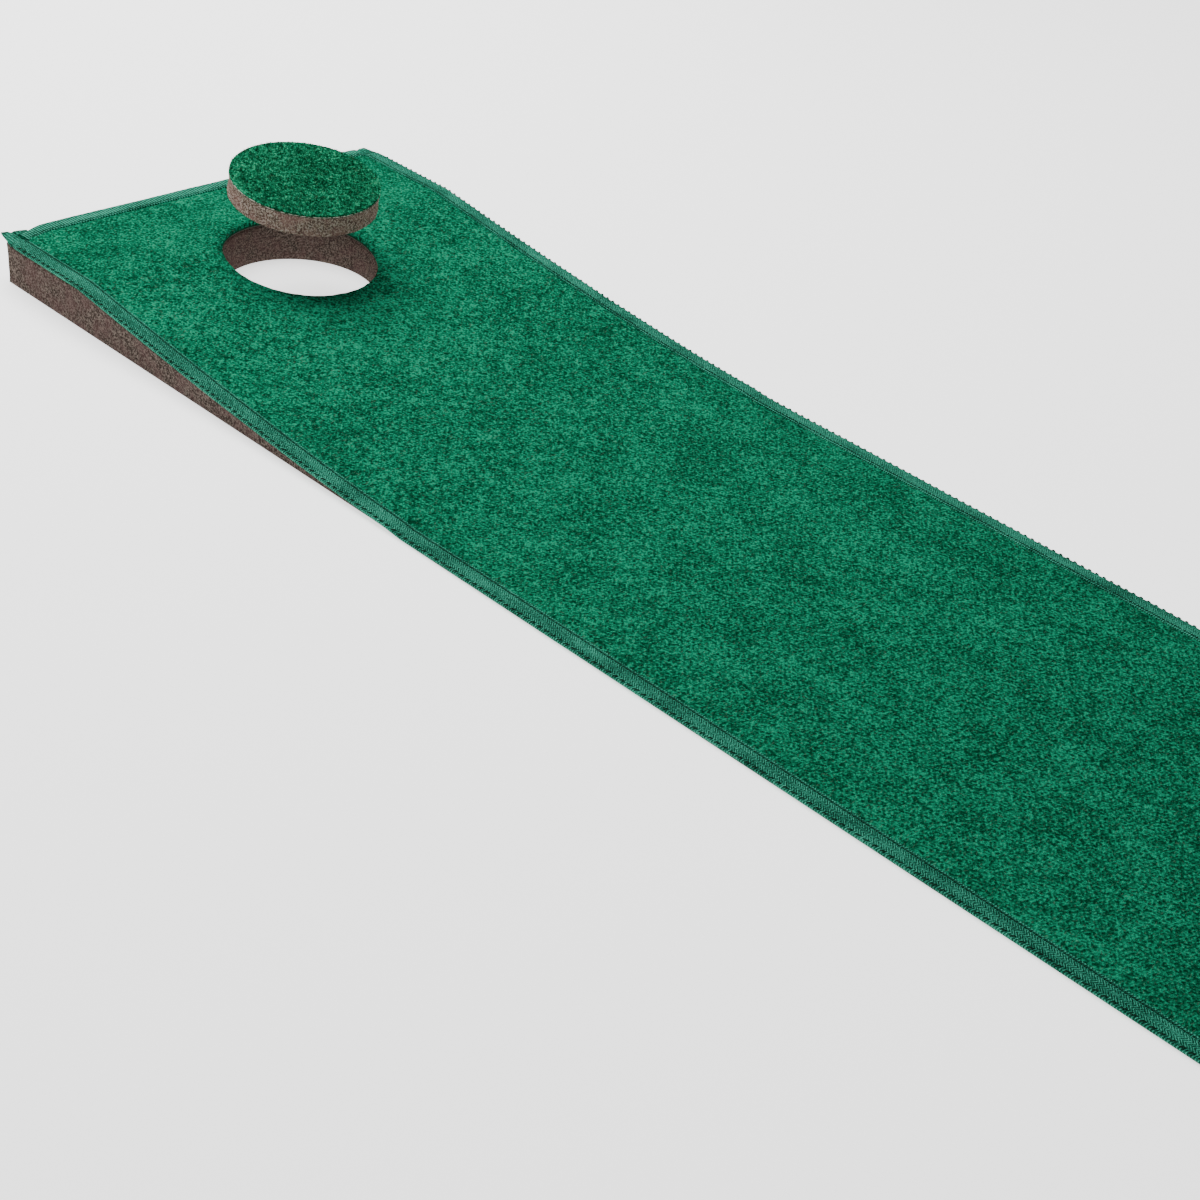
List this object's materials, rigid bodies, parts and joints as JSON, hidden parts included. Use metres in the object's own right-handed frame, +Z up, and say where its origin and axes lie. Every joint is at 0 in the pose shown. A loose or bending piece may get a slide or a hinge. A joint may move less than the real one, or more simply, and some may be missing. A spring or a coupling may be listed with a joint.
{
  "type": "practice putting mat",
  "caption": "Long felt putting runner with taped and stitched edges, bonded over a foam ramp with a cup hole, and a loose turf-topped foam plug.",
  "frame": {"origin": "centre of the cup hole at floor level", "axes": "+X runs along the mat to the tee end, +Y across it to the right side as the player faces the cup, +Z up"},
  "size_m": [2.441, 0.3264, 0.0923],
  "materials": {
    "ramp_foam": "matte",
    "plug_foam": "matte",
    "glue": "satin",
    "backing": "matte",
    "felt": "matte",
    "turf": "matte",
    "tape": "matte",
    "thread": "satin"
  },
  "bodies": {
    "mat": {"foam_wedge": "ramp_foam", "wedge_glue_film": "glue", "backing_on_ramp": "backing", "backing_on_floor": "backing", "felt_on_ramp": "felt", "felt_on_floor": "felt", "left_tape_on_ramp": "tape", "left_tape_on_floor": "tape", "right_tape_on_ramp": "tape", "right_tape_on_floor": "tape", "cup_end_tape": "tape", "tee_end_tape": "tape", "left_needle_thread": "thread", "right_needle_thread": "thread", "cup_end_needle_thread": "thread", "tee_end_needle_thread": "thread", "left_bobbin_thread": "thread", "right_bobbin_thread": "thread", "cup_end_bobbin_thread": "thread", "tee_end_bobbin_thread": "thread", "left_edge_stitching": "thread", "right_edge_stitching": "thread", "left_corner_flap": "tape", "right_corner_flap": "tape"},
    "plug": {"plug_foam": "plug_foam", "plug_glue_film": "glue", "plug_backing": "backing", "plug_turf": "turf"}
  },
  "joints": [
    {"name": "plug_lift", "type": "slide", "parent": "mat", "child": "plug", "axis": [0, 0, 1], "range_m": [-0.063, 0.05]}
  ]
}
